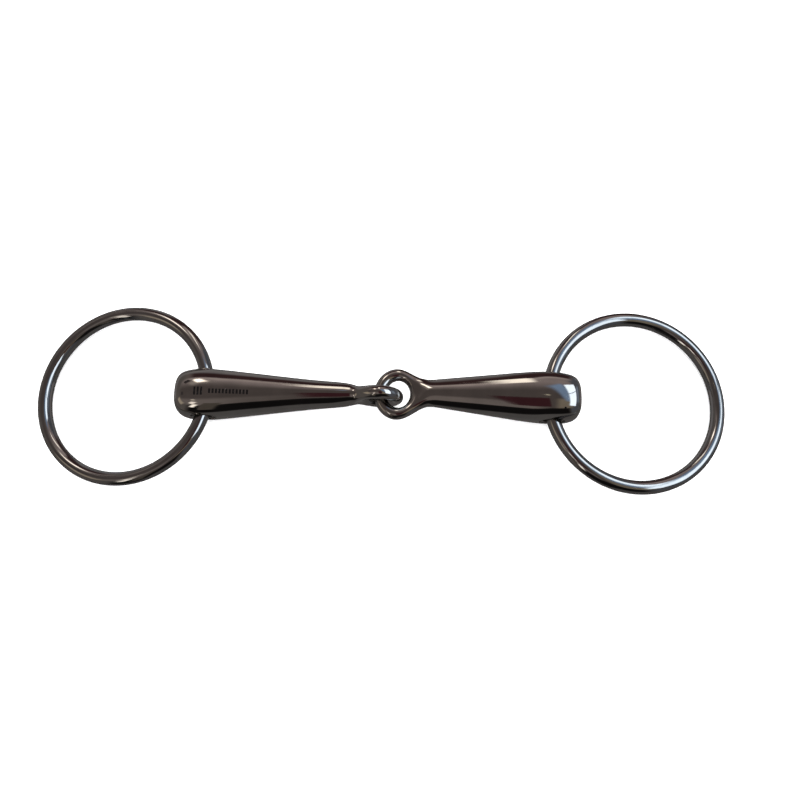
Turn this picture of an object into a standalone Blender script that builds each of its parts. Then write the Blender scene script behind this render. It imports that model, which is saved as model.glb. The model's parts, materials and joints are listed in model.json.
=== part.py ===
"""Loose-ring snaffle bit, lying flat on the ground.

Two hollow mouthpiece halves are linked eye through eye. Each thick outer end has a hole across it with a
sleeve in it, and a round-wire cheek ring runs through the sleeve. The mouth lies along X and the holes run
along Y. The origin is on the ground, midway between the two holes. Metres, +Z up.
"""

from math import asin, cos, pi, sin

import bmesh
import bpy
from mathutils import Matrix, Vector

# Cheek rings
MOUTH_SIZE = 0.1402          # between the two rings' inner faces
RING_WIRE = 0.0059           # diameter of the ring wire
RING_RADIUS = 0.0370         # to the wire's centreline
RING_SEAT = 0.00072          # how far inside the hole's axis the curved wire passes, at mid-hole
RING_SEGMENTS = 72
WIRE_SEGMENTS = 12

# Mouthpiece halves
MOUTH_WIDTH = 0.0216         # across Y at the thick end
MOUTH_THICKNESS = 0.0214     # across Z at the thick end
END_OVERHANG = 0.0120        # from the hole's axis to the end of the half
REST_FLAT_DEPTH = 0.0001     # ground off the underside where the bit rests
SHOULDER = 0.0085            # from the hole's axis back to where the taper starts
SHOULDER_DROP = 0.045        # how much thinner the shoulder is than the thick end, the way the eye is thin
CROWN = 1.018                # how much the cage stands out over the hole, to be full size when smoothed
# From the neck just behind each eye to where its straight taper starts: the distance from the eye's centre,
# half the size there across the eye, and half the size there along the eye's hole
LEFT_NECK = ((0.0093, 0.0051, 0.0043), (0.0145, 0.0058, 0.0054), (0.0260, 0.0068, 0.0061))
RIGHT_NECK = ((0.0120, 0.0055, 0.0045), (0.0175, 0.0063, 0.0050))
ROUND = 0.71                 # fullness of the neck's section
FULL = 0.82                  # fullness of the thick end's section, which is a little squarer
END_ROWS = ((0.0070, 0.98), (0.0018, 0.88), (0.0, 0.48))   # distance from the end, share of full size

# The hollow in the mouth
WALL = 0.0021
HOLLOW_CROWN = 0.0058        # length of its rounded outer end
HOLLOW_START = 0.0225        # from the eye's centre to its narrow end
HOLLOW_NARROW = 0.0037       # its radius there

# Eyes: the left one stands upright and the right one lies flat
LEFT_EYE_WIRE = 0.0058
RIGHT_EYE_WIRE = 0.0054
LEFT_EYE_WIDTH = 0.0208      # over the outside, across the half
RIGHT_EYE_WIDTH = 0.0226
LEFT_EYE_REACH = 0.0080      # from the eye's centre to its wire's centreline, along the half
RIGHT_EYE_REACH = 0.0077
EYE_WAIST = 0.89             # how much the eye is drawn in on each side of the neck
LINK_X = 0.00815             # the centre of the left eye's tip, which the right eye turns on
LINK_STEP = 0.0070           # between the centres of the two eyes' tips

# The halves lie very slightly askew, each pointing from its hole to its eye's tip. Each body is a little
# bowed, and the left eye leans the same way as its body.
LEFT_TIP_Y = -0.0006
RIGHT_TIP_Y = 0.0007
LEFT_HOLE_Y = -0.0007
RIGHT_HOLE_Y = -0.0001
LEFT_BOW = 0.0007
RIGHT_BOW = 0.0009
LEFT_EYE_LEAN = 0.0005
RIGHT_EYE_LEAN = 0

# Sleeves in the ring holes
SLEEVE_BORE = 0.0040         # radius
SLEEVE_RADIUS = 0.0049
SLEEVE_LENGTH = 0.0198
SLEEVE_ROUNDING = 0.0004     # at the mouths of the bore
SLEEVE_GAP = 0.0003          # between the sleeve and its hole
HOLE_FLARE = 0.0009          # how much the hole widens at the surface
TURNED_STEPS = 32

GROUND_BLOCK = (0.4, 0.1, 0.02)
CUT_BEYOND = 0.002           # how far a cutter runs past the surface

AXIS_HEIGHT = MOUTH_THICKNESS / 2 - REST_FLAT_DEPTH
HOLE_X = (MOUTH_SIZE + RING_WIRE) / 2 + RING_SEAT
RING_LEAN = asin((AXIS_HEIGHT - RING_WIRE / 2) / (2 * RING_RADIUS - RING_SEAT))

EYE_POINTS = 8               # cage points round an eye
WIRE_POINTS = 6              # cage points round the eye's wire
SMOOTHING = 2

STEEL = (0.40, 0.375, 0.365, 1.0)
SLEEVE_STEEL = (0.30, 0.285, 0.275, 1.0)


def clear_scene():
    for item in list(bpy.data.objects):
        bpy.data.objects.remove(item, do_unlink=True)


def new_collection(name):
    collection = bpy.data.collections.new(name)
    bpy.context.scene.collection.children.link(collection)
    return collection


def metal(name, colour, roughness):
    material = bpy.data.materials.new(name)
    material.use_nodes = True
    shader = material.node_tree.nodes["Principled BSDF"]
    shader.inputs["Base Color"].default_value = colour
    shader.inputs["Metallic"].default_value = 1.0
    shader.inputs["Roughness"].default_value = roughness
    material.diffuse_color = colour
    return material


def add_object(name, mesh, collection, matrix, parent=None):
    """An object with the mesh, at the matrix in its parent's frame."""
    item = bpy.data.objects.new(name, mesh)
    collection.objects.link(item)
    item.parent = parent
    item.matrix_local = matrix
    return item


def add_axis(name, location, collection):
    """An empty on a joint's axis, for the moving pieces to hang from."""
    axis = bpy.data.objects.new(name, None)
    axis.empty_display_size = 0.01
    axis.location = location
    collection.objects.link(axis)
    return axis


def make_cutter(item):
    item.hide_render = True
    item.display_type = "WIRE"


def cut(item, cutter, name):
    boolean = item.modifiers.new(name, "BOOLEAN")
    boolean.operation = "DIFFERENCE"
    boolean.solver = "EXACT"
    boolean.object = cutter


def turned_mesh(name, outline):
    """A closed outline of (radius, height) points, as loose edges for a Screw modifier round Z."""
    form = bmesh.new()
    points = [form.verts.new((radius, 0, height)) for radius, height in outline]
    for start, end in zip(points, points[1:]):
        form.edges.new((start, end))
    if outline[0][0] > 0:
        form.edges.new((points[-1], points[0]))
    mesh = bpy.data.meshes.new(name)
    form.to_mesh(mesh)
    form.free()
    return mesh


def add_screw(item, steps):
    screw = item.modifiers.new("turn", "SCREW")
    screw.axis = "Z"
    screw.steps = steps
    screw.render_steps = steps
    screw.use_merge_vertices = True
    screw.merge_threshold = 0.00001
    screw.use_smooth_shade = True


def section(x, side, rise, fullness):
    """Eight cage points round the axis at x. Smoothed, they reach side and rise.

    fullness is where the corners stand, as a share of side and rise: 0.707 is round, and more is squarer.
    """
    reach = 6 / (4 + 2 * fullness)
    a, b = side * reach, rise * reach
    c, d = a * fullness, b * fullness
    ring = ((c, -d), (a, 0), (c, d), (0, b), (-c, d), (-a, 0), (-c, -d), (0, -b))
    return [Vector((x, y, z)) for y, z in ring]


def bowed(rows, hole, bow):
    """Shifts each section sideways by the bow: all of it at the neck, and none at the hole."""
    for row in rows:
        share = (hole - row[0].x) / (hole - rows[0][0].x)
        for point in row:
            point += bow * share
    return rows


def half_sections(hole, neck, side, rise):
    """The cage's sections from the neck to the end. hole is how far the hole is from the eye's centre.

    neck is the sections up to the straight taper's start, each as distance, half side and half rise.
    """
    rows = [section(*sizes, ROUND) for sizes in neck[:-1]]
    shoulder = (hole - SHOULDER, side, rise * (1 - SHOULDER_DROP))
    for share in (0, 1 / 3, 2 / 3, 1):
        x, half_side, half_rise = (start + share * (end - start) for start, end in zip(neck[-1], shoulder))
        rows.append(section(x, half_side, half_rise, ROUND + share * (FULL - ROUND)))
    rows.append(section(hole, CROWN * side, CROWN * rise, FULL))
    for back, size in END_ROWS:
        rows.append(section(hole + END_OVERHANG - back, size * side, size * rise, FULL))
    return rows


def kept(points):
    """The share of its radius that a round cage of so many points keeps when it is smoothed."""
    return (4 + 2 * cos(2 * pi / points)) / 6


def add_eye(form, wire, width, reach, lean):
    """The eye's cage points, keyed by place round the eye and round its wire. One is left out at the neck.

    lean is how far the eye's root stands to the side of its tip.
    """
    spread = (width - wire) / 2
    cage_wire = wire / 2 / kept(WIRE_POINTS)
    eye = {}
    for i in range(EYE_POINTS):
        turn = i * 2 * pi / EYE_POINTS
        for j in range(WIRE_POINTS):
            if (i, j) == (0, 0):
                continue
            roll = j * 2 * pi / WIRE_POINTS
            out = cage_wire * cos(roll)
            beside_neck = i in (1, 7) and j in (5, 0, 1)
            drawn_in = (EYE_WAIST if beside_neck else 1) / kept(EYE_POINTS)
            x = (reach + out) * cos(turn) * drawn_in
            y = (spread + out) * sin(turn) * drawn_in
            aside = lean * (x + reach) / (2 * reach)
            eye[i, j] = form.verts.new((x, y, cage_wire * sin(roll) + aside))
    for i in range(EYE_POINTS):
        for j in range(WIRE_POINTS):
            if i in (7, 0) and j in (5, 0):
                continue
            k, m = (i + 1) % EYE_POINTS, (j + 1) % WIRE_POINTS
            form.faces.new((eye[i, j], eye[k, j], eye[k, m], eye[i, m]))
    return eye


def half_cage(name, hole, eye_sizes, body_sizes, bow):
    """One half as a coarse closed cage: an eye in the local XY plane at the origin, the mouth along +X."""
    form = bmesh.new()
    eye = add_eye(form, *eye_sizes)
    loop = [eye[key] for key in ((1, 5), (1, 0), (1, 1), (0, 1), (7, 1), (7, 0), (7, 5), (0, 5))]
    for row in bowed(half_sections(hole, *body_sizes), hole, bow):
        following = [form.verts.new(point) for point in row]
        for k in range(8):
            m = (k + 1) % 8
            form.faces.new((loop[k], loop[m], following[m], following[k]))
        loop = following
    tip = form.verts.new(sum((point.co for point in loop), Vector()) / len(loop))
    for k in (7, 1, 3, 5):
        form.faces.new((tip, loop[k], loop[(k + 1) % 8], loop[(k + 2) % 8]))
    bmesh.ops.recalc_face_normals(form, faces=form.faces)
    mesh = bpy.data.meshes.new(name)
    form.to_mesh(mesh)
    form.free()
    mesh.shade_smooth()
    return mesh


def hollow_outline(hole):
    """The hollow inside a half, as a turned outline. Height runs from the hole's axis towards the end."""
    full = MOUTH_THICKNESS / 2 - WALL
    front = END_OVERHANG - WALL
    back = HOLLOW_START - hole
    outline = []
    for i in range(5):
        turn = i * pi / 8
        outline.append((full * sin(turn), front - HOLLOW_CROWN * (1 - cos(turn))))
    outline.append((full, -SHOULDER / 2))
    for i in range(4):
        turn = i * pi / 6
        outline.append((HOLLOW_NARROW * cos(turn), back - HOLLOW_NARROW * sin(turn)))
    outline[-1] = (0, back - HOLLOW_NARROW)
    return outline


def hole_outline():
    """The hole through a half: as wide as the sleeve and its gap, flared where it comes out."""
    radius = SLEEVE_RADIUS + SLEEVE_GAP
    flare = SLEEVE_LENGTH / 2
    beyond = MOUTH_WIDTH / 2 + CUT_BEYOND
    wide = radius + HOLE_FLARE + CUT_BEYOND
    return [(0, beyond), (wide, beyond), (radius, flare), (radius, -flare), (wide, -beyond), (0, -beyond)]


def sleeve_outline():
    top = SLEEVE_LENGTH / 2
    soft = SLEEVE_ROUNDING
    return [
        (SLEEVE_BORE + soft, top),
        (SLEEVE_RADIUS, top),
        (SLEEVE_RADIUS, -top),
        (SLEEVE_BORE + soft, -top),
        (SLEEVE_BORE, -top + soft),
        (SLEEVE_BORE, top - soft),
    ]


def ring_matrix(side):
    """A ring's place from its hole's centre: out along the mouth, and down till it rests on the ground."""
    lean = Matrix.Rotation(side * RING_LEAN, 4, "Y")
    return lean @ Matrix.Translation((side * (RING_RADIUS - RING_SEAT), 0, 0))


def add_ring(name, side, parent, collection):
    bpy.ops.mesh.primitive_torus_add(
        major_segments=RING_SEGMENTS, minor_segments=WIRE_SEGMENTS,
        major_radius=RING_RADIUS, minor_radius=RING_WIRE / 2,
    )
    ring = bpy.context.object
    for owner in list(ring.users_collection):
        owner.objects.unlink(ring)
    collection.objects.link(ring)
    ring.name = name
    ring.data.name = name
    ring.data.shade_smooth()
    ring.parent = parent
    ring.matrix_local = ring_matrix(side)
    return ring


def half_frame(side):
    """The matrix from a half's own frame to the world, and the distance from its eye's centre to its hole.

    A half's own frame is centred on its eye. The left half's eye (side -1) is upright, the other lies flat.
    """
    if side < 0:
        tip = Vector((LINK_X, LEFT_TIP_Y, AXIS_HEIGHT))
        middle = Vector((-HOLE_X, LEFT_HOLE_Y, AXIS_HEIGHT))
        reach = LEFT_EYE_REACH
    else:
        tip = Vector((LINK_X - LINK_STEP, RIGHT_TIP_Y, AXIS_HEIGHT))
        middle = Vector((HOLE_X, RIGHT_HOLE_Y, AXIS_HEIGHT))
        reach = RIGHT_EYE_REACH
    to_hole = middle - tip
    along = to_hole.normalized()
    up = Vector((0, 0, 1))
    in_plane = up if side < 0 else up.cross(along)
    turn = Matrix((along, in_plane, along.cross(in_plane))).transposed().to_4x4()
    return Matrix.Translation(tip + along * reach) @ turn, to_hole.length - reach


def add_half(name, side, parent, bit, cutters, ground):
    width, thickness = MOUTH_WIDTH / 2, MOUTH_THICKNESS / 2
    place, hole = half_frame(side)
    if parent:
        place = Matrix.Translation(-parent.location) @ place
    if side < 0:
        eye_sizes = (LEFT_EYE_WIRE, LEFT_EYE_WIDTH, LEFT_EYE_REACH, LEFT_EYE_LEAN)
        body_sizes = (LEFT_NECK, thickness, width)
        bow = Vector((0, 0, LEFT_BOW))
    else:
        eye_sizes = (RIGHT_EYE_WIRE, RIGHT_EYE_WIDTH, RIGHT_EYE_REACH, RIGHT_EYE_LEAN)
        body_sizes = (RIGHT_NECK, width, thickness)
        bow = Vector((0, RIGHT_BOW, 0))
    cage = half_cage(name, hole, eye_sizes, body_sizes, bow)
    half = add_object(name, cage, bit, place, parent)
    smooth = half.modifiers.new("smooth", "SUBSURF")
    smooth.levels = SMOOTHING
    smooth.render_levels = SMOOTHING

    at_hole = Matrix.Translation((side * HOLE_X, 0, AXIS_HEIGHT))
    along_mouth = at_hole @ Matrix.Rotation(side * pi / 2, 4, "Y")
    along_hole = at_hole @ Matrix.Rotation(-pi / 2, 4, "X")
    hollow = add_object(name + "_hollow_cutter", turned_mesh(name + "_hollow_cutter", hollow_outline(hole)),
                        cutters, along_mouth)
    passage = add_object(name + "_hole_cutter", turned_mesh(name + "_hole_cutter", hole_outline()),
                         cutters, along_hole)
    for cutter in (hollow, passage):
        add_screw(cutter, TURNED_STEPS)
        make_cutter(cutter)
    cut(half, hollow, "hollow")
    cut(half, passage, "ring hole")
    cut(half, ground, "rest flat")
    return half


def add_sleeve(name, side, parent, collection):
    mesh = turned_mesh(name, sleeve_outline())
    sleeve = add_object(name, mesh, collection, Matrix.Rotation(-pi / 2, 4, "X"), parent)
    add_screw(sleeve, TURNED_STEPS)
    return sleeve


def add_ground_cutter(collection):
    """A block below the ground, which leaves a narrow flat on whatever dips under it."""
    form = bmesh.new()
    bmesh.ops.create_cube(form, size=1.0)
    bmesh.ops.scale(form, verts=form.verts, vec=GROUND_BLOCK)
    bmesh.ops.translate(form, verts=form.verts, vec=(0, 0, -GROUND_BLOCK[2] / 2))
    mesh = bpy.data.meshes.new("ground_cutter")
    form.to_mesh(mesh)
    form.free()
    ground = add_object("ground_cutter", mesh, collection, Matrix.Identity(4))
    make_cutter(ground)
    return ground


def main():
    clear_scene()
    bit = new_collection("snaffle_bit")
    cutters = new_collection("cutters")
    mouth_metal = metal("polished_steel", STEEL, 0.08)
    ring_metal = metal("ring_steel", STEEL, 0.10)
    sleeve_metal = metal("sleeve_steel", SLEEVE_STEEL, 0.25)
    ground = add_ground_cutter(cutters)
    link = add_axis("centre_joint_axis", (LINK_X, LEFT_TIP_Y, AXIS_HEIGHT), bit)
    for word, side, hanger in (("left", -1, None), ("right", 1, link)):
        half = add_half(word + "_mouthpiece", side, hanger, bit, cutters, ground)
        half.data.materials.append(mouth_metal)
        hole_axis = add_axis(word + "_hole_axis", (side * HOLE_X, 0, AXIS_HEIGHT), bit)
        sleeve = add_sleeve(word + "_ring_sleeve", side, hole_axis, bit)
        sleeve.data.materials.append(sleeve_metal)
        ring = add_ring(word + "_ring", side, hole_axis, bit)
        ring.data.materials.append(ring_metal)


main()
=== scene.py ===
"""Loose-ring snaffle bit in polished steel, lying on a pale floor.

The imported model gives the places: its joints give the ring holes, the link and the rings' centres, and its
boxes give the rings' size. The halves, rings and sleeves are rebuilt smooth round them. Metres, +Z up.
"""

import json
from math import cos, pi, radians, sin, tau

import bmesh
import bpy
from mathutils import Matrix, Vector


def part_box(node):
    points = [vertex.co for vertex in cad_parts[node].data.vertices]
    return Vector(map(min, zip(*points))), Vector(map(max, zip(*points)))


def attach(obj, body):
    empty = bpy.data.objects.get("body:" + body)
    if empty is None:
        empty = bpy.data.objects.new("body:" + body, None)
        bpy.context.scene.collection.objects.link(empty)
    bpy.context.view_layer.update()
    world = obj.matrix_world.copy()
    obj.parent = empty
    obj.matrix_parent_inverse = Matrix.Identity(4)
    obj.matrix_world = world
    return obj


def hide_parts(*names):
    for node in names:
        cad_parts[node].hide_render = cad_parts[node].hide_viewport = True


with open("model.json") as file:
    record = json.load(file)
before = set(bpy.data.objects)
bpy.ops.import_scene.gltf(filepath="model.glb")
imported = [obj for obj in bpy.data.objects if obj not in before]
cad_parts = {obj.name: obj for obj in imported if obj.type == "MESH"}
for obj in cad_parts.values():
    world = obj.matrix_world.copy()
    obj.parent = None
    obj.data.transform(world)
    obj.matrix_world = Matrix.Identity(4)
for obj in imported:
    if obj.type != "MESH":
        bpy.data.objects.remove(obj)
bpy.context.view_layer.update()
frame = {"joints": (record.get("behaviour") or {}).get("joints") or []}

# The mouth's halves, as the CAD model has them
MOUTH_WIDTH = 0.0216
MOUTH_THICKNESS = 0.0214
END_OVERHANG = 0.0120        # from the ring hole's axis to the end
SHOULDER = 0.0085            # from the ring hole's axis back to the end of the taper
SHOULDER_DROP = 0.045        # how much less the half measures there, along the eye's hole
CROWN = 1.018                # the cage's size at the ring hole, as a share of the half's
# The distance from the eye's centre, half the size across the eye, half the size along the eye's hole
NECK = {
    "left": ((0.0093, 0.0051, 0.0043), (0.0145, 0.0058, 0.0054), (0.0260, 0.0068, 0.0061)),
    "right": ((0.0120, 0.0055, 0.0045), (0.0175, 0.0063, 0.0050)),
}
ROUND, FULL = 0.71, 0.82     # the fullness of a section: round at the neck, squarer at the end
# The distance back from the end, and the share of the half's full size
END_ROWS = ((0.0070, 0.98), (0.0018, 0.88), (0.0, 0.48))
WALL = 0.0021
HOLLOW_CROWN = 0.0058
HOLLOW_START = 0.0225
HOLLOW_NARROW = 0.0037
EYE_WAIST = 0.89             # the share of its size that the eye keeps beside its neck
EYE_WIRE = {"left": 0.0058, "right": 0.0054}
EYE_WIDTH = {"left": 0.0208, "right": 0.0226}
EYE_REACH = {"left": 0.0080, "right": 0.0077}
EYE_LEAN = {"left": 0.0005, "right": 0}
LINK_STEP = 0.0070           # from the left eye's tip back to the right eye's
RIGHT_TIP_Y = 0.0007
HOLE_Y = {"left": -0.0007, "right": -0.0001}
BOW = {"left": Vector((0, 0, 0.0007)), "right": Vector((0, 0.0009, 0))}
EYE_POINTS = 8
WIRE_POINTS = 6
COARSE_SMOOTHING = 3
FINE_SMOOTHING = 2
NECK_BLEND_REACH = 0.006     # how far from the neck its creases are smoothed away
NECK_BLENDING = 14
CREASE = radians(35)         # edges sharper than this stay sharp
DROP = 0.00001               # how far the smooth halves stand inside the coarser CAD surface
GROUND_BLOCK = (0.4, 0.1, 0.02)
GROUND_TOP = 0.00001         # the height at which the undersides are cut flat
CUTTER_OVERHANG = 0.002

# Sleeves, holes and rings
SLEEVE_BORE = 0.0040
SLEEVE_RADIUS = 0.0049
SLEEVE_LENGTH = 0.0198
SLEEVE_GAP = 0.0003
SLEEVE_SOFTNESS = 0.4        # the rounding of its edges, as a share of its wall
RIM = 0.0009                 # rounding of the hole's edge
TURNED_STEPS = 96
RING_WIRE = 0.0059
RING_DROP = 0.00002          # how far the round rings stand inside the faceted ones
RING_STEPS = 360
WIRE_STEPS = 48

JOINTS = {joint["name"]: joint for joint in frame["joints"]}


def place_of(joint):
    return Vector(JOINTS[joint]["pos_m"])


# ---------------------------------------------------------------- mesh helpers

def add_piece(name, mesh, body, replaced=None):
    """A finished piece in the row's frame, which moves with a body and may stand for a CAD node."""
    piece = bpy.data.objects.new(name, mesh)
    bpy.context.scene.collection.objects.link(piece)
    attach(piece, body)
    if replaced:
        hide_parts(replaced)
    return piece


def circle(radius, height, steps):
    turns = [i * tau / steps for i in range(steps)]
    return [(radius * cos(turn), radius * sin(turn), height) for turn in turns]


def turned(outline, steps=TURNED_STEPS):
    """A closed mesh turned round Z from (radius, height) points that run down the outer side."""
    form = bmesh.new()
    rings = []
    for radius, height in outline:
        points = circle(radius, height, steps) if radius else [(0, 0, height)]
        rings.append([form.verts.new(point) for point in points])
    pairs = list(zip(rings, rings[1:]))
    if outline[0][0] > 0:
        pairs.append((rings[-1], rings[0]))
    for upper, lower in pairs:
        for i in range(steps):
            k = (i + 1) % steps
            sides = ((upper, i), (lower, i), (lower, k), (upper, k))
            corners = [ring[place % len(ring)] for ring, place in sides]
            form.faces.new(list(dict.fromkeys(corners)))
    bmesh.ops.recalc_face_normals(form, faces=form.faces)
    return form


def to_mesh(form, name):
    mesh = bpy.data.meshes.new(name)
    form.to_mesh(mesh)
    form.free()
    return mesh


# ---------------------------------------------------------------- mouthpiece halves

def section(x, side, rise, fullness):
    """Eight cage points round the axis at x. Smoothed, they reach side and rise."""
    reach = 6 / (4 + 2 * fullness)
    a, b = side * reach, rise * reach
    c, d = a * fullness, b * fullness
    ring = ((c, -d), (a, 0), (c, d), (0, b), (-c, d), (-a, 0), (-c, -d), (0, -b))
    return [Vector((x, y, z)) for y, z in ring]


def bowed(rows, hole, bow):
    """Shifts each section sideways by the bow: all of it at the neck, and none at the hole."""
    for row in rows:
        share = (hole - row[0].x) / (hole - rows[0][0].x)
        for point in row:
            point += bow * share
    return rows


def half_sections(hole, neck, side, rise):
    """The cage's sections from the neck to the end. hole is how far the hole is from the eye's centre."""
    rows = [section(*sizes, ROUND) for sizes in neck[:-1]]
    shoulder = (hole - SHOULDER, side, rise * (1 - SHOULDER_DROP))
    for share in (0, 1 / 3, 2 / 3, 1):
        x, half_side, half_rise = (start + share * (end - start) for start, end in zip(neck[-1], shoulder))
        rows.append(section(x, half_side, half_rise, ROUND + share * (FULL - ROUND)))
    rows.append(section(hole, CROWN * side, CROWN * rise, FULL))
    for back, size in END_ROWS:
        rows.append(section(hole + END_OVERHANG - back, size * side, size * rise, FULL))
    return rows


def kept(points):
    """The share of its radius that a round cage of so many points keeps when it is smoothed."""
    return (4 + 2 * cos(tau / points)) / 6


def add_eye(form, wire, width, reach, lean):
    """The eye's cage points, keyed by place round the eye and round its wire.

    The point where the neck joins is left out. lean is how far the eye's root stands beside its tip.
    """
    spread = (width - wire) / 2
    cage_wire = wire / 2 / kept(WIRE_POINTS)
    eye = {}
    for i in range(EYE_POINTS):
        turn = i * tau / EYE_POINTS
        for j in range(WIRE_POINTS):
            if (i, j) == (0, 0):
                continue
            roll = j * tau / WIRE_POINTS
            out = cage_wire * cos(roll)
            beside_neck = i in (1, 7) and j in (5, 0, 1)
            drawn_in = (EYE_WAIST if beside_neck else 1) / kept(EYE_POINTS)
            x = (reach + out) * cos(turn) * drawn_in
            y = (spread + out) * sin(turn) * drawn_in
            aside = lean * (x + reach) / (2 * reach)
            eye[i, j] = form.verts.new((x, y, cage_wire * sin(roll) + aside))
    for i in range(EYE_POINTS):
        for j in range(WIRE_POINTS):
            if i in (7, 0) and j in (5, 0):
                continue
            k, m = (i + 1) % EYE_POINTS, (j + 1) % WIRE_POINTS
            form.faces.new((eye[i, j], eye[k, j], eye[k, m], eye[i, m]))
    return eye


def half_cage(word, hole, spread):
    """One half as a coarse closed cage: its eye at the origin in the XY plane, and its mouth along +X."""
    form = bmesh.new()
    eye = add_eye(form, EYE_WIRE[word], EYE_WIDTH[word], EYE_REACH[word], EYE_LEAN[word])
    root = ((1, 5), (1, 0), (1, 1), (0, 1), (7, 1), (7, 0), (7, 5), (0, 5))
    loop = [eye[key] for key in root]
    for row in bowed(half_sections(hole, NECK[word], *spread), hole, BOW[word]):
        following = [form.verts.new(point) for point in row]
        for k in range(8):
            m = (k + 1) % 8
            form.faces.new((loop[k], loop[m], following[m], following[k]))
        loop = following
    tip = form.verts.new(sum((point.co for point in loop), Vector()) / len(loop))
    for k in (7, 1, 3, 5):
        form.faces.new((tip, loop[k], loop[(k + 1) % 8], loop[(k + 2) % 8]))
    bmesh.ops.recalc_face_normals(form, faces=form.faces)
    return form


def hollow_outline(hole):
    """The hollow inside a half, as a turned outline. Height runs from the hole's axis towards the end."""
    full = MOUTH_THICKNESS / 2 - WALL
    front = END_OVERHANG - WALL
    back = HOLLOW_START - hole
    outline = []
    for i in range(5):
        turn = i * pi / 8
        outline.append((full * sin(turn), front - HOLLOW_CROWN * (1 - cos(turn))))
    outline.append((full, -SHOULDER / 2))
    for i in range(4):
        turn = i * pi / 6
        outline.append((HOLLOW_NARROW * cos(turn), back - HOLLOW_NARROW * sin(turn)))
    outline[-1] = (0, back - HOLLOW_NARROW)
    return outline


def hole_outline():
    """The hole through a half: a straight bore with a rounded rim at each side."""
    bore = SLEEVE_RADIUS + SLEEVE_GAP
    half = MOUTH_WIDTH / 2
    turns = [i * pi / 12 for i in range(6, -1, -1)]
    upper = [(bore + RIM * (1 - cos(turn)), half - RIM * (1 - sin(turn))) for turn in turns]
    far = half + CUTTER_OVERHANG
    upper = [(0, far), (bore + RIM + CUTTER_OVERHANG, far)] + upper
    return upper + [(radius, -height) for radius, height in reversed(upper)]


def half_frame(word):
    """The matrix from a half's own frame to the world, and how far its hole is from its eye's centre."""
    tip = place_of("centre_joint")
    if word == "right":
        tip = Vector((tip.x - LINK_STEP, RIGHT_TIP_Y, tip.z))
    middle = place_of(word + "_ring_swivel")
    middle.y = HOLE_Y[word]
    to_hole = middle - tip
    along = to_hole.normalized()
    up = Vector((0, 0, 1))
    in_plane = up if word == "left" else up.cross(along)
    turn = Matrix((along, in_plane, along.cross(in_plane))).transposed().to_4x4()
    return Matrix.Translation(tip + along * EYE_REACH[word]) @ turn, to_hole.length - EYE_REACH[word]


def loose_object(name, mesh, matrix):
    item = bpy.data.objects.new(name, mesh)
    bpy.context.scene.collection.objects.link(item)
    item.matrix_world = matrix
    return item


def cut(item, cutter):
    boolean = item.modifiers.new(cutter.name, "BOOLEAN")
    boolean.operation = "DIFFERENCE"
    boolean.solver = "EXACT"
    boolean.object = cutter
    boolean.material_mode = "TRANSFER"


def ground_block():
    form = bmesh.new()
    bmesh.ops.create_cube(form, size=1.0)
    bmesh.ops.scale(form, verts=form.verts, vec=GROUND_BLOCK)
    bmesh.ops.translate(form, verts=form.verts, vec=(0, 0, GROUND_TOP - GROUND_BLOCK[2] / 2))
    return to_mesh(form, "ground")


def round_off(item, levels):
    rounded = item.modifiers.new("rounded", "SUBSURF")
    rounded.levels = rounded.render_levels = levels


def blend_neck(item, neck_x):
    """Smooths away the creases that the coarse cage leaves where the eye joins the neck."""
    group = item.vertex_groups.new(name="neck")
    for vertex in item.data.vertices:
        off = abs(vertex.co.x - neck_x) / NECK_BLEND_REACH
        group.add([vertex.index], max(0.0, 1.0 - off), "REPLACE")
    blended = item.modifiers.new("blended", "SMOOTH")
    blended.vertex_group = group.name
    blended.factor = 0.5
    blended.iterations = NECK_BLENDING


def make_half(word, material, cutters=()):
    """One half, smoothed and cut, as a piece in the row's frame."""
    width, thickness = MOUTH_WIDTH / 2 - DROP, MOUTH_THICKNESS / 2 - DROP
    spread = (thickness, width) if word == "left" else (width, thickness)
    place, hole = half_frame(word)
    mesh = to_mesh(half_cage(word, hole, spread), word + "_half")
    mesh.materials.append(material)
    mesh.shade_smooth()
    item = loose_object(word + "_half_work", mesh, place)
    round_off(item, COARSE_SMOOTHING)
    blend_neck(item, NECK[word][0][0])
    round_off(item, FINE_SMOOTHING)

    side = -1 if word == "left" else 1
    at_hole = Matrix.Translation(place_of(word + "_ring_swivel"))
    hollow = loose_object("hollow", to_mesh(turned(hollow_outline(hole)), "hollow"),
                          at_hole @ Matrix.Rotation(side * pi / 2, 4, "Y"))
    passage = loose_object("ring_hole", to_mesh(turned(hole_outline()), "ring_hole"),
                           at_hole @ Matrix.Rotation(-pi / 2, 4, "X"))
    ground = loose_object("ground", ground_block(), Matrix.Identity(4))
    work = [hollow, passage, ground, *cutters]
    for cutter in work:
        if not cutter.data.materials:
            cutter.data.materials.append(material)
        cut(item, cutter)
    bpy.context.view_layer.update()
    evaluated = item.evaluated_get(bpy.context.evaluated_depsgraph_get())
    finished = bpy.data.meshes.new_from_object(evaluated)
    finished.transform(item.matrix_world)
    finished.name = word + "_mouth"
    finished.set_sharp_from_angle(angle=CREASE)
    for used in (item, *work):
        bpy.data.objects.remove(used, do_unlink=True)
    return add_piece(word + "_mouth", finished, word + "_half", word + "_mouthpiece")


# ---------------------------------------------------------------- rings and sleeves

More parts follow.
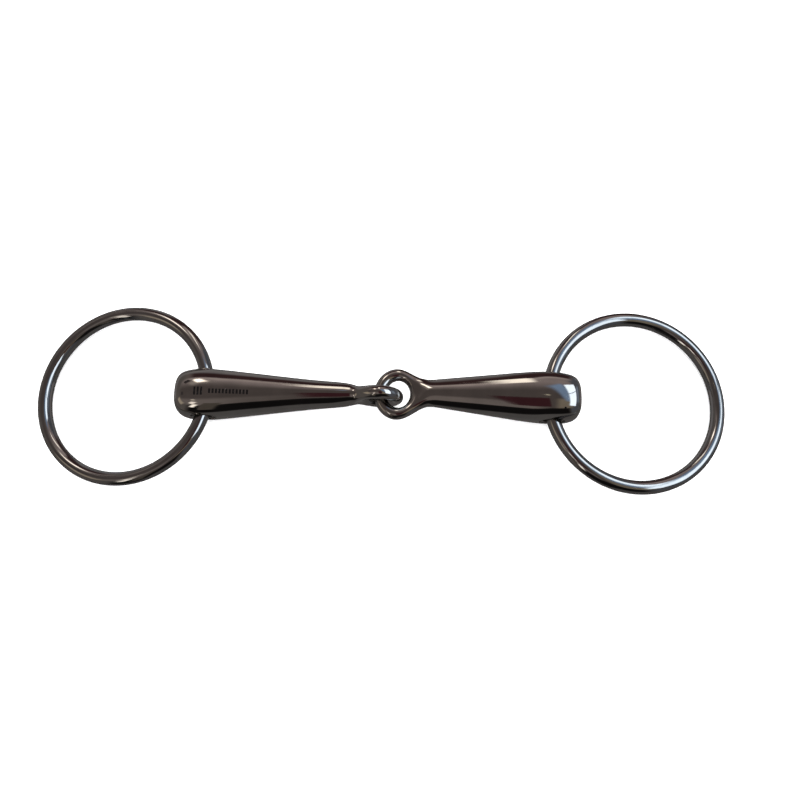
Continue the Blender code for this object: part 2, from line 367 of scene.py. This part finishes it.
def map_wire(mesh, radius, wire):
    """A UV map in metres: along the ring, and round its wire."""
    places = mesh.uv_layers.new(name="wire").data
    for face in mesh.polygons:
        i, j = divmod(min(face.vertices), WIRE_STEPS)
        if {0, RING_STEPS - 1} <= {corner // WIRE_STEPS for corner in face.vertices}:
            i = RING_STEPS - 1
        if {0, WIRE_STEPS - 1} <= {corner % WIRE_STEPS for corner in face.vertices}:
            j = WIRE_STEPS - 1
        for loop in face.loop_indices:
            vertex = mesh.loops[loop].vertex_index
            u = i + (vertex // WIRE_STEPS - i) % RING_STEPS
            v = j + (vertex % WIRE_STEPS - j) % WIRE_STEPS
            places[loop].uv = (u / RING_STEPS * tau * radius, v / WIRE_STEPS * tau * wire)


def make_ring(word, material):
    """A cheek ring: round wire in a circle, about the axis that it slides round."""
    low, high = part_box(word + "_ring")
    joint = JOINTS[word + "_ring_slide"]
    axis = Vector(joint["axis"]).normalized()
    centre = place_of(word + "_ring_slide")
    wire = RING_WIRE / 2 - RING_DROP
    radius = (high.y - low.y) / 2 - RING_WIRE / 2
    form = bmesh.new()
    loops = []
    for i in range(RING_STEPS):
        turn = i * tau / RING_STEPS
        loop = []
        for j in range(WIRE_STEPS):
            roll = j * tau / WIRE_STEPS
            out = radius + wire * cos(roll)
            loop.append(form.verts.new((out * cos(turn), out * sin(turn), wire * sin(roll))))
        loops.append(loop)
    for i in range(RING_STEPS):
        k = (i + 1) % RING_STEPS
        for j in range(WIRE_STEPS):
            m = (j + 1) % WIRE_STEPS
            form.faces.new((loops[i][j], loops[k][j], loops[k][m], loops[i][m]))
    bmesh.ops.recalc_face_normals(form, faces=form.faces)
    mesh = to_mesh(form, word + "_cheek_ring")
    map_wire(mesh, radius, wire)
    along = Vector((0, 1, 0)).cross(axis).normalized()
    turn = Matrix((along, axis.cross(along), axis)).transposed().to_4x4()
    mesh.transform(Matrix.Translation(centre) @ turn)
    mesh.materials.append(material)
    mesh.shade_smooth()
    return add_piece(word + "_cheek_ring", mesh, word + "_cheek", word + "_ring")


def make_sleeve(word, material):
    """The tube that lines a hole, with its edges rounded."""
    half = SLEEVE_LENGTH / 2
    soft = (SLEEVE_RADIUS - SLEEVE_BORE) * SLEEVE_SOFTNESS
    turns = [i * pi / 8 for i in range(5)]
    corner = [(soft * (1 - sin(turn)), half - soft * (1 - cos(turn))) for turn in turns]
    outer = [(SLEEVE_RADIUS - back, height) for back, height in corner]
    inner = [(SLEEVE_BORE + back, height) for back, height in reversed(corner)]
    lower = [(radius, -height) for radius, height in reversed(inner + outer)]
    mesh = to_mesh(turned(outer + lower + inner), word + "_sleeve")
    at_hole = Matrix.Translation(place_of(word + "_ring_swivel"))
    mesh.transform(at_hole @ Matrix.Rotation(-pi / 2, 4, "X"))
    mesh.materials.append(material)
    mesh.shade_smooth()
    return add_piece(word + "_sleeve", mesh, word + "_swivel", word + "_ring_sleeve")


# ---------------------------------------------------------------- materials

def new_material(name, colour, metallic, roughness):
    material = bpy.data.materials.new(name)
    material.use_nodes = True
    shader = material.node_tree.nodes["Principled BSDF"]
    shader.inputs["Base Color"].default_value = colour
    shader.inputs["Metallic"].default_value = metallic
    shader.inputs["Roughness"].default_value = roughness
    return material


class Nodes:
    """Short calls for building a node tree."""

    def __init__(self, tree):
        self.tree = tree

    def add(self, kind, **settings):
        node = self.tree.nodes.new(kind)
        for key, value in settings.items():
            setattr(node, key, value)
        return node

    def link(self, source, target):
        self.tree.links.new(source, target)

    def noise(self, vector, scale, detail=3.0):
        node = self.add("ShaderNodeTexNoise")
        node.inputs["Scale"].default_value = scale
        node.inputs["Detail"].default_value = detail
        self.link(vector, node.inputs["Vector"])
        return node.outputs["Fac"]

    def spread(self, value, low, high, to_low, to_high):
        """Maps low..high to to_low..to_high, clamped."""
        node = self.add("ShaderNodeMapRange")
        for key, amount in zip(("From Min", "From Max", "To Min", "To Max"), (low, high, to_low, to_high)):
            node.inputs[key].default_value = amount
        self.link(value, node.inputs["Value"])
        return node.outputs["Result"]

    def stretched(self, vector, scale):
        node = self.add("ShaderNodeMapping")
        node.inputs["Scale"].default_value = scale
        self.link(vector, node.inputs["Vector"])
        return node.outputs["Vector"]

    def mixed(self, factor, first, second):
        """A colour between two colours."""
        node = self.add("ShaderNodeMix", data_type="RGBA")
        self.link(factor, node.inputs[0])
        node.inputs[6].default_value = first
        node.inputs[7].default_value = second
        return node.outputs[2]

    def smooth(self, value, start, end):
        """Rises from 0 at the start to 1 at the end, with soft ends. The end may lie below the start."""
        node = self.add("ShaderNodeMapRange", interpolation_type="SMOOTHSTEP")
        node.inputs["From Min"].default_value = start
        node.inputs["From Max"].default_value = end
        self.link(value, node.inputs["Value"])
        return node.outputs["Result"]

    def parts(self, vector):
        node = self.add("ShaderNodeSeparateXYZ")
        self.link(vector, node.inputs[0])
        return node.outputs

    def along(self, vector, axis):
        """How far a vector reaches along an axis."""
        node = self.add("ShaderNodeVectorMath", operation="DOT_PRODUCT")
        self.link(vector, node.inputs[0])
        node.inputs[1].default_value = axis
        return node.outputs["Value"]

    def pane(self, u, v, half_width, half_height, softness):
        """1 inside a rectangle round the origin, fading to 0 at its edges."""
        beside = self.smooth(self.math("ABSOLUTE", u), half_width, half_width - softness)
        above = self.smooth(self.math("ABSOLUTE", v), half_height, half_height - softness)
        return self.math("MULTIPLY", beside, above)

    def covered(self, first, share, second):
        """A share of the second colour over the first."""
        node = self.add("ShaderNodeMix", data_type="RGBA")
        self.link(share, node.inputs[0])
        for socket, colour in zip((node.inputs[6], node.inputs[7]), (first, second)):
            if isinstance(colour, tuple):
                socket.default_value = colour
            else:
                self.link(colour, socket)
        return node.outputs[2]

    def math(self, operation, first, second=0.0):
        node = self.add("ShaderNodeMath", operation=operation)
        for socket, value in zip(node.inputs, (first, second)):
            if isinstance(value, (int, float)):
                socket.default_value = value
            else:
                self.link(value, socket)
        return node.outputs[0]


def polished_steel(name, coordinates, colour, along, shine, marks):
    """Mirror-polished steel: smudges in the gloss, a few fine scratches, and polishing lines.

    along is how tightly the lines are packed along each coordinate, and marks is how deep they look.
    """
    shares = (1 - TONE_SPREAD, 1 + TONE_SPREAD)
    dark, light = (tuple(share * part for part in colour) + (1,) for share in shares)
    material = new_material(name, light, 1.0, shine)
    nodes = Nodes(material.node_tree)
    shader = material.node_tree.nodes["Principled BSDF"]
    place = nodes.add("ShaderNodeTexCoord").outputs[coordinates]

    cloud = nodes.spread(nodes.noise(place, TONE_SCALE, 4), 0.35, 0.65, 0, 1)
    nodes.link(nodes.mixed(cloud, dark, light), shader.inputs["Base Color"])

    smudge = nodes.spread(nodes.noise(place, SMUDGE_SCALE, 5), 0.45, 0.75, 0, SMUDGE)
    lines = nodes.noise(nodes.stretched(place, along), 1, 2)
    dulled = nodes.spread(lines, 0.5, 0.8, 0, LINE_DULLING)
    nodes.link(nodes.math("ADD", nodes.math("ADD", smudge, shine), dulled), shader.inputs["Roughness"])

    finer = tuple(part * SCRATCH_FINENESS for part in along)
    scratch = nodes.spread(nodes.noise(nodes.stretched(place, finer), 1, 1), 0.66, 0.72, 0, 1)
    bump = nodes.add("ShaderNodeBump")
    bump.inputs["Strength"].default_value = marks
    bump.inputs["Distance"].default_value = MARK_DEPTH
    nodes.link(nodes.math("ADD", scratch, lines), bump.inputs["Height"])
    nodes.link(bump.outputs["Normal"], shader.inputs["Normal"])
    return material


def reamed_steel():
    """The duller inside of the sleeves, with rings left by the tool."""
    material = new_material("sleeve_steel", (0.30, 0.285, 0.275, 1), 1.0, 0.25)
    nodes = Nodes(material.node_tree)
    shader = material.node_tree.nodes["Principled BSDF"]
    place = nodes.add("ShaderNodeTexCoord").outputs["Object"]
    lines = nodes.noise(nodes.stretched(place, REAMED_LINES), 1, 3)
    nodes.link(nodes.spread(lines, 0.3, 0.7, 0.18, 0.38), shader.inputs["Roughness"])
    return material


def etched_and_shaded_steel():
    """The dark, matt floor of an etched mark. It also lines the vent, where its near-black is painted shade
    for the dark inside of the hole.
    """
    material = new_material("etched_and_shaded_steel", (0.004, 0.0035, 0.0035, 1), 0.0, 0.7)
    nodes = Nodes(material.node_tree)
    shader = material.node_tree.nodes["Principled BSDF"]
    shader.inputs["Specular IOR Level"].default_value = 0.1
    place = nodes.add("ShaderNodeTexCoord").outputs["Object"]
    nodes.link(nodes.spread(nodes.noise(place, ETCH_SCALE), 0.3, 0.7, 0.6, 0.85), shader.inputs["Roughness"])
    return material


# ---------------------------------------------------------------- etched ticks and the vent

def surface_z(mesh_object, x, y):
    """The height of the top surface above a point."""
    hit, place, _, _ = mesh_object.ray_cast(Vector((x, y, 1)), Vector((0, 0, -1)))
    if not hit:
        raise ValueError("no surface above the point")
    return place.z


def tick_cutter(surface, x, length, name):
    """A narrow block that follows the surface, to cut one stroke of the mark."""
    form = bmesh.new()
    corners = ((-1, -TICK_DEPTH), (1, -TICK_DEPTH), (1, CUTTER_LIFT), (-1, CUTTER_LIFT))
    rows = []
    for i in range(TICK_STEPS + 1):
        y = TICK_Y + length * (i / TICK_STEPS - 0.5)
        height = surface_z(surface, x, y)
        row = [form.verts.new((x + side * TICK_WIDTH / 2, y, height + lift)) for side, lift in corners]
        rows.append(row)
    for near, far in zip(rows, rows[1:]):
        for k in range(4):
            m = (k + 1) % 4
            form.faces.new((near[k], near[m], far[m], far[k]))
    form.faces.new(rows[0])
    form.faces.new(rows[-1])
    bmesh.ops.recalc_face_normals(form, faces=form.faces)
    return loose_object(name, to_mesh(form, name), Matrix.Identity(4))


def mark_cutters(material):
    """A row of plain strokes on the left half, tall ones and then short ones."""
    surface = bpy.data.objects["left_mouthpiece"]
    cutters = []
    for start, count, length in TICK_GROUPS:
        for i in range(count):
            name = "tick_" + str(len(cutters) + 1)
            cutter = tick_cutter(surface, start + i * TICK_PITCH, length, name)
            cutter.data.materials.append(material)
            cutters.append(cutter)
    return cutters


def vent_cutter(material):
    """A pinhole in the top of the right half. It is shallow, and its inside takes the near-black material:
    painted shade for the dark hole.
    """
    surface = bpy.data.objects["right_mouthpiece"]
    height = surface_z(surface, VENT_X, VENT_Y)
    mouth = (VENT_RADIUS * VENT_FLARE, CUTTER_LIFT)
    floor = (VENT_RADIUS / 2, -VENT_DEPTH)
    outline = [(0, mouth[1]), mouth, (VENT_RADIUS, -VENT_LIP), floor, (0, floor[1])]
    place = Matrix.Translation((VENT_X, VENT_Y, height)) @ Matrix.Rotation(VENT_TILT, 4, "X")
    cutter = loose_object("vent", to_mesh(turned(outline, VENT_SIDES), "vent"), place)
    cutter.data.materials.append(material)
    return cutter


# ---------------------------------------------------------------- studio

def add_card(name, aim, direction, distance, size, softness, colour, strength):
    """A glowing card with soft edges, square to the direction it is seen in from a point on the bit."""
    back = Vector(direction).normalized()
    across = Vector((0, 0, 1)).cross(back).normalized()
    mesh = bpy.data.meshes.new(name)
    half_width, half_height = (side / 2 for side in size)
    corners = [(half_width * i, half_height * j, 0) for i, j in ((-1, -1), (1, -1), (1, 1), (-1, 1))]
    mesh.from_pydata(corners, [], [range(4)])

    material = bpy.data.materials.new(name)
    material.use_nodes = True
    material.node_tree.nodes.clear()
    nodes = Nodes(material.node_tree)
    u, v, _ = nodes.parts(nodes.add("ShaderNodeTexCoord").outputs["Object"])
    glow = nodes.add("ShaderNodeEmission")
    glow.inputs["Color"].default_value = colour
    glow.inputs["Strength"].default_value = strength
    faded = nodes.add("ShaderNodeMixShader")
    nodes.link(nodes.pane(u, v, half_width, half_height, softness), faded.inputs[0])
    nodes.link(nodes.add("ShaderNodeBsdfTransparent").outputs[0], faded.inputs[1])
    nodes.link(glow.outputs[0], faded.inputs[2])
    nodes.link(faded.outputs[0], nodes.add("ShaderNodeOutputMaterial").inputs["Surface"])
    mesh.materials.append(material)

    card = bpy.data.objects.new(name, mesh)
    turn = Matrix((across, back.cross(across), back)).transposed().to_4x4()
    card.matrix_world = Matrix.Translation(Vector(aim) + back * distance) @ turn
    bpy.context.scene.collection.objects.link(card)
    card.visible_camera = False
    card.visible_diffuse = False
    card.visible_shadow = False


def make_floor():
    """A pale floor that sweeps up into a backdrop all round, kept out of the reflections."""
    outline = [(FLOOR_CENTRE, 0), (FLOOR_RADIUS, 0)]
    for i in range(1, 9):
        turn = i * pi / 16
        outline.append((FLOOR_RADIUS + FLOOR_SWEEP * sin(turn), FLOOR_SWEEP * (1 - cos(turn))))
    outline.append((FLOOR_RADIUS + FLOOR_SWEEP, BACKDROP_HEIGHT))
    form = bmesh.new()
    loops = []
    for radius, height in outline:
        loops.append([form.verts.new(point) for point in circle(radius, height, FLOOR_STEPS)])
    form.faces.new(loops[0])
    for lower, upper in zip(loops, loops[1:]):
        for i in range(FLOOR_STEPS):
            k = (i + 1) % FLOOR_STEPS
            form.faces.new((lower[i], lower[k], upper[k], upper[i]))
    bmesh.ops.recalc_face_normals(form, faces=form.faces)
    mesh = to_mesh(form, "floor")
    mesh.shade_smooth()
    material = new_material("pale_floor", (0.88, 0.88, 0.88, 1), 0, 0.9)
    shader = material.node_tree.nodes["Principled BSDF"]
    shader.inputs["Emission Color"].default_value = (1, 1, 1, 1)
    shader.inputs["Emission Strength"].default_value = FLOOR_GLOW
    mesh.materials.append(material)
    floor = bpy.data.objects.new("floor", mesh)
    bpy.context.scene.collection.objects.link(floor)
    floor.visible_glossy = False


def make_world():
    """The room that the steel reflects, painted by direction.

    Lean is how many degrees a direction leans from straight up towards +Y. Side is how far it reaches to the
    left or right.
    """
    world = bpy.data.worlds.new("room")
    bpy.context.scene.world = world
    world.use_nodes = True
    nodes = Nodes(world.node_tree)
    direction = nodes.add("ShaderNodeTexCoord").outputs["Generated"]
    x, y, z = nodes.parts(direction)
    lean = nodes.math("DEGREES", nodes.math("ARCTAN2", y, z))
    side = nodes.math("ABSOLUTE", x)
    right = nodes.smooth(x, *RIGHT_FADE)

    def past(start, end, shift):
        """Fades in with the lean, and further round by the shift on the right."""
        return nodes.smooth(nodes.math("SUBTRACT", lean, nodes.math("MULTIPLY", right, shift)), start, end)

    def both(first, second):
        return nodes.math("MULTIPLY", first, second)

    uneven = nodes.spread(nodes.noise(direction, CLOUD_SCALE, 2), 0.3, 0.7, 0, CLOUD_SHARE)
    near_left = both(nodes.smooth(lean, *CEILING_NEAR_FADE), nodes.smooth(x, *LEFT_FADE))
    near_right = both(nodes.smooth(x, *CEILING_TAN_FADE), nodes.smooth(y, *TOWARDS_NEAR_FADE))
    side_walls = both(nodes.smooth(z, *WALL_TOP_FADE), nodes.smooth(side, *SIDE_WALL_FADE))
    far_wall = both(past(*FAR_WALL_FADE), nodes.smooth(side, *FAR_WALL_WIDTH_FADE))
    coat = both(nodes.smooth(side, *COAT_WIDTH_FADE), past(*COAT_FADE))
    layers = (
        (nodes.smooth(lean, *CEILING_FAR_FADE), CEILING_FAR),
        (past(*CEILING_EDGE_FADE), CEILING_EDGE),
        (uneven, CEILING_DARK),
        (near_left, CEILING_NEAR),
        (near_right, CEILING_TAN),
        (side_walls, nodes.covered(SIDE_LEFT, right, SIDE_RIGHT)),
        (far_wall, FAR_WALL),
        (past(*PAPER_FAR_FADE), PAPER_FAR),
        (coat, COAT),
        (past(*PAPER_FADE), PAPER),
        (nodes.smooth(z, *BELOW_FADE), PAPER),
    )
    room = CEILING
    for share, colour in layers:
        room = nodes.covered(room, share, colour)
    for azimuth, elevation, size, softness, colour in WINDOWS:
        azimuth, elevation = radians(azimuth), radians(elevation)
        level = Vector((cos(azimuth), sin(azimuth), 0))
        ahead = cos(elevation) * level + Vector((0, 0, sin(elevation)))
        across = Vector((-level.y, level.x, 0))
        depth = nodes.along(direction, ahead)
        u = nodes.math("DIVIDE", nodes.along(direction, across), depth)
        v = nodes.math("DIVIDE", nodes.along(direction, ahead.cross(across)), depth)
        pane = both(nodes.pane(u, v, *size, softness), nodes.smooth(depth, *IN_FRONT_FADE))
        room = nodes.covered(room, pane, colour)
    nodes.link(room, world.node_tree.nodes["Background"].inputs["Color"])


def make_lights():
    """One large soft light from above, for the floor and its shadows. The steel doesn't reflect it."""
    data = bpy.data.lights.new("softbox", "AREA")
    data.shape = "DISK"
    data.size = SOFTBOX_SIZE
    data.energy = SOFTBOX_POWER
    light = bpy.data.objects.new("softbox", data)
    light.location = SOFTBOX_PLACE
    light.rotation_euler = (-Vector(SOFTBOX_PLACE)).to_track_quat("-Z", "Y").to_euler()
    light.visible_glossy = False
    bpy.context.scene.collection.objects.link(light)


def make_camera():
    data = bpy.data.cameras.new("camera")
    data.sensor_width = 36
    data.lens = CAMERA_LENS
    data.clip_start = 0.01
    camera = bpy.data.objects.new("camera", data)
    camera.location = CAMERA_PLACE
    camera.rotation_euler = CAMERA_TURN
    bpy.context.scene.collection.objects.link(camera)
    bpy.context.scene.camera = camera


# ---------------------------------------------------------------- the scene

# Steel: the scale and the strength of its clouds of tone and of dullness, and its polishing marks
TONE_SCALE = 130
TONE_SPREAD = 0.07
SMUDGE_SCALE = 260
SMUDGE = 0.03
LINE_DULLING = 0.02
SCRATCH_FINENESS = 2.3
MARK_DEPTH = 0.00002
ETCH_SCALE = 3000
MOUTH_LINES = (60, 2200, 2200)
RING_LINES = (60, 2600, 1)
REAMED_LINES = (150, 4000, 150)
MOUTH_COLOUR = (0.40, 0.388, 0.373)
# The rings are the mouth's steel made darker: painted shade, so that the rings read darker than the halves
SHADED_RING_COLOUR = (0.36, 0.358, 0.353)

# Etched strokes: x of the first, how many, and their length
TICK_GROUPS = ((-0.0752, 3, 0.0034), (-0.0690, 12, 0.0019))
TICK_PITCH = 0.0014
TICK_STEPS = 6               # how many steps a stroke follows the surface in
TICK_WIDTH = 0.00082
TICK_DEPTH = 0.00016
TICK_Y = -0.0018
VENT_X, VENT_Y = 0.0776, -0.0065
VENT_TILT = radians(35)
VENT_RADIUS = 0.00045
VENT_DEPTH = 0.0004
VENT_LIP = 0.0001
VENT_FLARE = 1.6
VENT_SIDES = 24
CUTTER_LIFT = 0.001          # how far the cutters stand out of the surface

# The room and the lights
CEILING = (0.125, 0.102, 0.095, 1)
CEILING_DARK = (0.085, 0.070, 0.066, 1)
CEILING_FAR = (0.42, 0.34, 0.325, 1)
CEILING_EDGE = (0.62, 0.51, 0.48, 1)
CEILING_NEAR = (0.25, 0.21, 0.195, 1)
CEILING_TAN = (0.30, 0.25, 0.19, 1)
SIDE_LEFT = (0.16, 0.14, 0.13, 1)
SIDE_RIGHT = (0.13, 0.135, 0.155, 1)
FAR_WALL = (0.060, 0.030, 0.030, 1)
COAT = (0.010, 0.009, 0.009, 1)
PAPER = (0.13, 0.123, 0.12, 1)
PAPER_FAR = (0.28, 0.26, 0.26, 1)
CLOUD_SCALE, CLOUD_SHARE = 2.5, 0.25
# The lean at which each layer starts and is full, and how many degrees later it comes on the right
CEILING_FAR_FADE = (15, 44)
CEILING_EDGE_FADE = (33, 47, 24)
CEILING_NEAR_FADE = (-12, -26)
FAR_WALL_FADE = (47, 54, 24)
PAPER_FAR_FADE = (70, 94, 38)
COAT_FADE = (-49, -56, 8)
PAPER_FADE = (-109, -115, 24)
# The reach along X, Y or Z, or to the side, at which each layer starts and is full
RIGHT_FADE = (-0.15, 0.15)
LEFT_FADE = (0.1, -0.1)
CEILING_TAN_FADE = (0.12, 0.32)
TOWARDS_NEAR_FADE = (0, -0.12)
WALL_TOP_FADE = (0.72, 0.45)
SIDE_WALL_FADE = (0.35, 0.6)
FAR_WALL_WIDTH_FADE = (0.6, 0.4)
COAT_WIDTH_FADE = (0.62, 0.45)
BELOW_FADE = (-0.45, -0.75)
IN_FRONT_FADE = (0, 0.1)
# Azimuth, elevation, half width and height, softness, colour
WINDOWS = (
    (12, 18, (0.40, 0.24), 0.16, (0.30, 0.36, 0.45, 1)),
    (30, 62, (0.50, 0.24), 0.16, (0.30, 0.42, 0.62, 1)),
    (8, 46, (0.62, 0.27), 0.07, (2.3, 2.6, 2.9, 1)),
    (22, 46, (0.025, 0.28), 0.02, (0.35, 0.42, 0.5, 1)),
    (25, 30, (0.60, 0.06), 0.05, (0.14, 0.15, 0.18, 1)),
    (127, 52, (0.22, 0.16), 0.15, (0.50, 0.43, 0.38, 1)),
    (121, 48, (0.10, 0.13), 0.07, (4.2, 3.7, 3.2, 1)),
    (137, 41, (0.10, 0.08), 0.03, (0.05, 0.04, 0.04, 1)),
    (177, 47, (0.09, 0.07), 0.03, (0.06, 0.05, 0.05, 1)),
    (-118, 30, (0.09, 0.20), 0.07, (2.4, 2.2, 1.95, 1)),
    (-128, 46, (0.10, 0.12), 0.07, (2.0, 1.8, 1.6, 1)),
    (-140, 57, (0.07, 0.07), 0.05, (0.8, 0.7, 0.6, 1)),
    (-155, 30, (0.30, 0.20), 0.12, (0.55, 0.46, 0.36, 1)),
)
# Name, point on the bit, direction and distance from it, size, softness, colour, strength
CARDS = (
    ("window_back", (0.0165, 0, 0.018), (0, 0.80, 0.60), 0.76,
     (0.13, 0.33), 0.048, (1.0, 0.90, 0.78, 1), 2.5),
    ("maroon_cuff", (0.038, 0, 0.020), (0.02, -0.34, 0.94), 0.38,
     (0.13, 0.25), 0.012, (1.0, 0.33, 0.40, 1), 0.065),
    ("left_arm", (-0.071, 0, 0.020), (-0.20, -0.88, 0.42), 0.40,
     (0.10, 0.36), 0.020, (1.0, 0.84, 0.70, 1), 0.12),
    ("lamp_up", (0.073, 0, 0.021), (0.05, 0.11, 0.99), 0.38,
     (0.035, 0.024), 0.012, (1.0, 0.90, 0.68, 1), 0.85),
)
FLOOR_CENTRE = 0.001
FLOOR_RADIUS = 1.2
FLOOR_SWEEP = 0.6
FLOOR_STEPS = 64
BACKDROP_HEIGHT = 2.4
FLOOR_GLOW = 0.35
SOFTBOX_POWER = 38
SOFTBOX_SIZE = 1.6
SOFTBOX_PLACE = (0.1, 0.15, 1.5)

CAMERA_PLACE = (0.01538, -0.07527, 0.29873)
CAMERA_TURN = (radians(14.305), radians(0.873), radians(1.074))
CAMERA_LENS = 31.47

bpy.context.scene.view_settings.view_transform = "Standard"
make_camera()
mouth_steel = polished_steel("mouth_steel", "Object", MOUTH_COLOUR, MOUTH_LINES, shine=0.05, marks=0.06)
# The rings' darker steel is painted shade
ring_steel = polished_steel("ring_steel", "UV", SHADED_RING_COLOUR, RING_LINES, shine=0.06, marks=0.12)
sleeve_steel = reamed_steel()
# The etched strokes' dark floor, which also paints the vent's inside near-black as painted shade
etch_and_vent_shade = etched_and_shaded_steel()
make_half("left", mouth_steel, mark_cutters(etch_and_vent_shade))
# The vent's near-black inside is painted shade
make_half("right", mouth_steel, [vent_cutter(etch_and_vent_shade)])
for word in ("left", "right"):
    make_ring(word, ring_steel)
    make_sleeve(word, sleeve_steel)
make_floor()
make_world()
for card in CARDS:
    add_card(*card)
make_lights()
